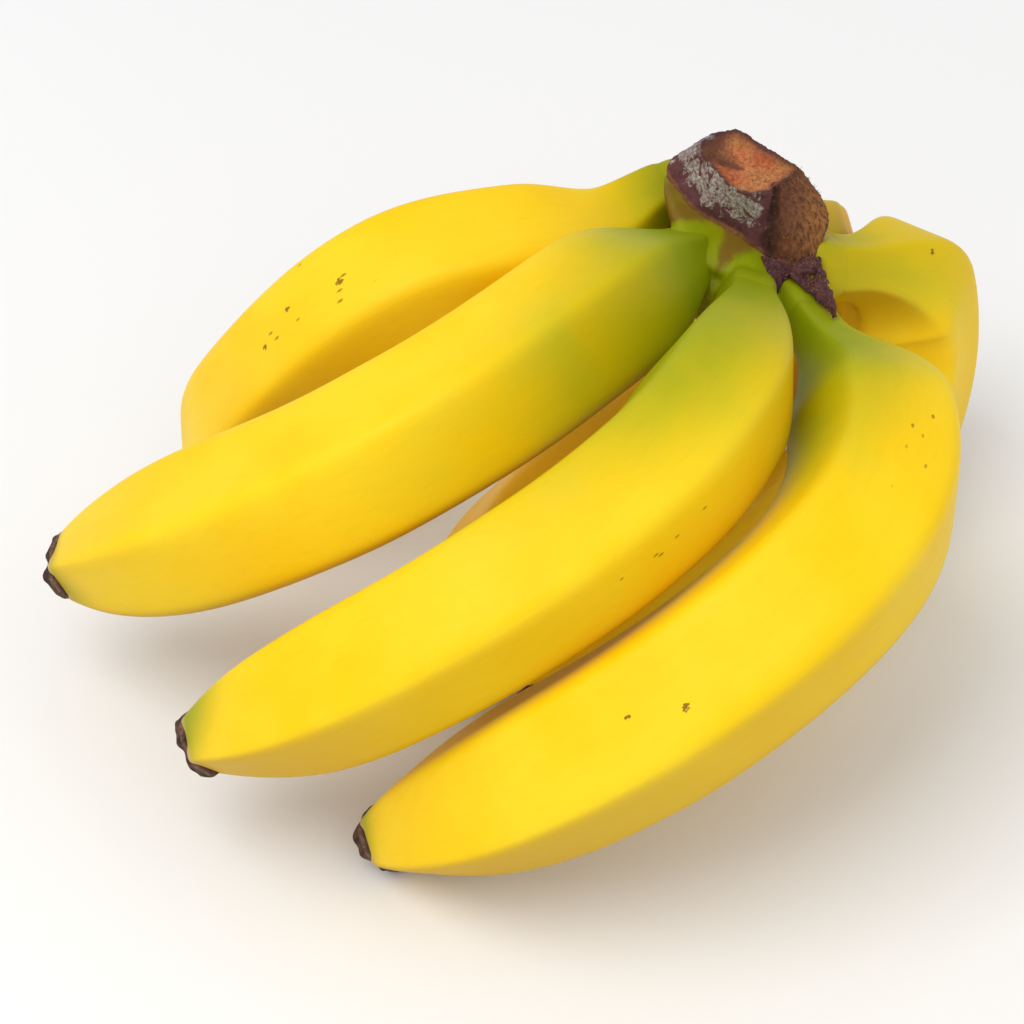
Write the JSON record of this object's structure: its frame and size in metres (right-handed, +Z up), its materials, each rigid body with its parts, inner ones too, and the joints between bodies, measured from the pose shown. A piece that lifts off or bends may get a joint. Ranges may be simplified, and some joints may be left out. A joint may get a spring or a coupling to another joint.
{
  "type": "bunch of bananas",
  "caption": "Small bunch of ripe yellow bananas on one cut crown, lying on its fingers with the dried crown up.",
  "frame": {"origin": "centre of the bounding box on the surface that the bunch lies on", "axes": "+Z up; +X from the blossom ends towards the crown, across the length of the bunch; +Y away from the viewer, towards the crown's back"},
  "size_m": [0.2128, 0.1842, 0.104],
  "materials": {
    "peel": "ripe banana peel, yellow with green near the neck and tip, satin, with small brown specks",
    "crown_skin": "green cushion under a dried brown and purple-grey fibrous cut, matt",
    "dried_blossom": "dried dark brown flower base, rough and matt"
  },
  "bodies": {
    "root": {"crown": "crown_skin", "banana_1": "peel", "banana_2": "peel", "banana_3": "peel", "banana_4": "peel", "banana_5": "peel", "banana_6": "peel", "blossom_end_1": "dried_blossom", "blossom_end_2": "dried_blossom", "blossom_end_3": "dried_blossom", "blossom_end_4": "dried_blossom", "blossom_end_5": "dried_blossom", "blossom_end_6": "dried_blossom"}
  },
  "joints": []
}
